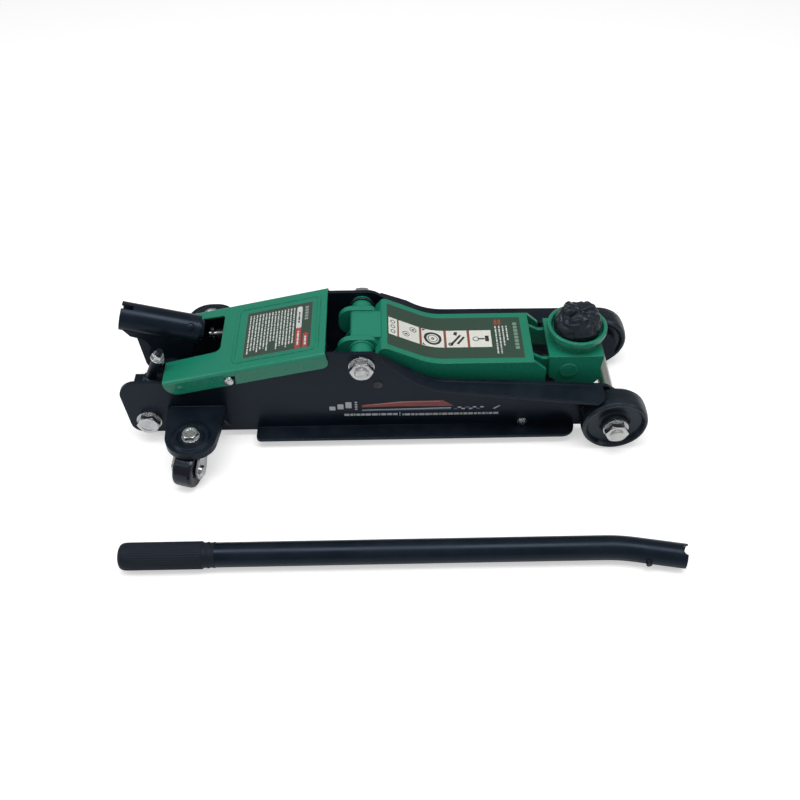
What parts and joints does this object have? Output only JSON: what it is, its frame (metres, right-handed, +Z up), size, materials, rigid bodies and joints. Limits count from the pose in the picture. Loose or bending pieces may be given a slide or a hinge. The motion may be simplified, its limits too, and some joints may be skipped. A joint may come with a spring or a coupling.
{
  "type": "trolley jack",
  "caption": "Low trolley jack with steel side frames, sheet cover, hydraulic ram, lifting arm with a level saddle, wheels, casters and a loose pumping handle.",
  "frame": {"origin": "on the floor under the middle of the whole object, loose handle included", "axes": "+X forward to the saddle end, +Y to the side away from the loose handle, +Z up"},
  "size_m": [0.5632, 0.3616, 0.1396],
  "materials": {
    "blue_black_paint": "satin gloss",
    "green_enamel": "gloss",
    "bright_zinc": "bright plated",
    "plain_steel": "machined, lightly oiled",
    "polished_rod": "ground and polished",
    "spring_steel": "drawn wire",
    "black_cast_iron": "rough black coating",
    "black_rubber": "matte",
    "wheel_black": "satin",
    "caster_black": "gloss"
  },
  "bodies": {
    "frame": {"side_plate_near": "blue_black_paint", "side_plate_far": "blue_black_paint", "cover": "green_enamel", "cover_screws": "bright_zinc", "frame_tie": "bright_zinc", "pivot_bolt": "plain_steel", "pivot_washers": "bright_zinc", "pivot_nuts": "bright_zinc", "front_axle": "plain_steel", "axle_washers": "bright_zinc", "axle_nuts": "bright_zinc", "rear_bolts": "bright_zinc", "rear_washers": "bright_zinc", "caster_bracket_near": "blue_black_paint", "caster_bracket_far": "blue_black_paint", "caster_bolts": "bright_zinc", "caster_nuts": "bright_zinc", "power_unit_base": "blue_black_paint", "reservoir_tube": "blue_black_paint", "ram_cylinder": "plain_steel", "ram_gland": "plain_steel", "pump_barrel": "plain_steel", "filler_plug": "plain_steel", "release_post": "bright_zinc", "post_nuts": "bright_zinc", "tie_rod_anchors": "bright_zinc", "socket_pin": "plain_steel", "return_springs": "spring_steel", "plunger_spring": "spring_steel", "valve_spring": "spring_steel"},
    "arm": {"arm_hub": "green_enamel", "lift_arm": "green_enamel", "push_pin": "plain_steel", "push_roller": "plain_steel", "support_pin": "plain_steel"},
    "support": {"saddle_support": "green_enamel", "tie_pin": "plain_steel"},
    "saddle": {"saddle": "black_cast_iron", "saddle_pad": "black_rubber"},
    "links": {"tie_rods": "plain_steel"},
    "ram": {"piston_rod": "polished_rod", "ram_head": "plain_steel"},
    "socket": {"handle_socket": "blue_black_paint", "cam_roller": "plain_steel", "cam_pin": "plain_steel"},
    "release_key": {"release_key": "plain_steel"},
    "valve_spindle": {"valve_spindle": "plain_steel"},
    "plunger": {"pump_plunger": "polished_rod"},
    "front_wheel_near": {"front_wheel_near": "wheel_black"},
    "front_wheel_far": {"front_wheel_far": "wheel_black"},
    "caster_fork_near": {"caster_fork_near": "bright_zinc", "caster_axle_near": "bright_zinc"},
    "caster_fork_far": {"caster_fork_far": "bright_zinc", "caster_axle_far": "bright_zinc"},
    "caster_wheel_near": {"caster_wheel_near": "caster_black"},
    "caster_wheel_far": {"caster_wheel_far": "caster_black"},
    "handle": {"handle_tube": "blue_black_paint", "handle_grip": "black_rubber"}
  },
  "joints": [
    {"name": "arm_lift", "type": "hinge", "parent": "frame", "child": "arm", "pos_m": [-0.02956, 0.05344, 0.105], "axis": [0, -1, 0], "range_deg": [0, 62]},
    {"name": "support_level", "type": "hinge", "parent": "arm", "child": "support", "pos_m": [0.18644, 0.05344, 0.074], "axis": [0, -1, 0], "range_deg": [-62, 0]},
    {"name": "link_swing", "type": "hinge", "parent": "frame", "child": "links", "pos_m": [-0.01356, 0.05344, 0.077], "axis": [0, -1, 0], "range_deg": [0, 62]},
    {"name": "saddle_spin", "type": "hinge", "parent": "support", "child": "saddle", "pos_m": [0.19544, 0.05344, 0.12], "axis": [0, 0, 1], "continuous": true},
    {"name": "ram_slide", "type": "slide", "parent": "frame", "child": "ram", "axis": [1, 0, 0], "range_m": [0, 0.054], "deforming": ["return_springs"]},
    {"name": "socket_pump", "type": "hinge", "parent": "frame", "child": "socket", "pos_m": [-0.23256, 0.06344, 0.066], "axis": [0, 1, 0], "range_deg": [0, 45]},
    {"name": "plunger_slide", "type": "slide", "parent": "frame", "child": "plunger", "axis": [-1, 0, 0], "range_m": [0, 0.017], "deforming": ["plunger_spring"]},
    {"name": "key_turn", "type": "hinge", "parent": "socket", "child": "release_key", "pos_m": [-0.19956, 0.06344, 0.1035], "axis": [-0.9636, 0, 0.2672], "range_deg": [0, 90]},
    {"name": "valve_turn", "type": "hinge", "parent": "frame", "child": "valve_spindle", "pos_m": [-0.17456, 0.08644, 0.076], "axis": [-1, 0, 0], "range_deg": [0, 90]},
    {"name": "front_wheel_near_spin", "type": "hinge", "parent": "frame", "child": "front_wheel_near", "pos_m": [0.23444, -0.01006, 0.035], "axis": [0, 1, 0], "continuous": true},
    {"name": "front_wheel_far_spin", "type": "hinge", "parent": "frame", "child": "front_wheel_far", "pos_m": [0.23444, 0.11694, 0.035], "axis": [0, 1, 0], "continuous": true},
    {"name": "caster_near_swivel", "type": "hinge", "parent": "frame", "child": "caster_fork_near", "pos_m": [-0.20506, -0.03756, 0.042], "axis": [0, 0, 1], "continuous": true},
    {"name": "caster_far_swivel", "type": "hinge", "parent": "frame", "child": "caster_fork_far", "pos_m": [-0.20506, 0.14444, 0.042], "axis": [0, 0, 1], "continuous": true},
    {"name": "caster_near_roll", "type": "hinge", "parent": "caster_fork_near", "child": "caster_wheel_near", "pos_m": [-0.21002, -0.05486, 0.019], "axis": [0.9613, -0.2756, 0], "continuous": true},
    {"name": "caster_far_roll", "type": "hinge", "parent": "caster_fork_far", "child": "caster_wheel_far", "pos_m": [-0.19661, 0.16033, 0.019], "axis": [-0.8829, 0.4695, 0], "continuous": true},
    {"name": "handle_lift_off", "type": "slide", "parent": "frame", "child": "handle", "axis": [0, 0, 1], "range_m": [0, 0.3]}
  ],
  "couplings": [
    {"joint": "support_level", "follows": "arm_lift", "ratio": -1},
    {"joint": "link_swing", "follows": "arm_lift", "ratio": 1},
    {"joint": "ram_slide", "follows": "arm_lift", "m_per_rad": 0.0495},
    {"joint": "plunger_slide", "follows": "socket_pump", "m_per_rad": 0.02144},
    {"joint": "valve_turn", "follows": "key_turn", "ratio": 1}
  ]
}
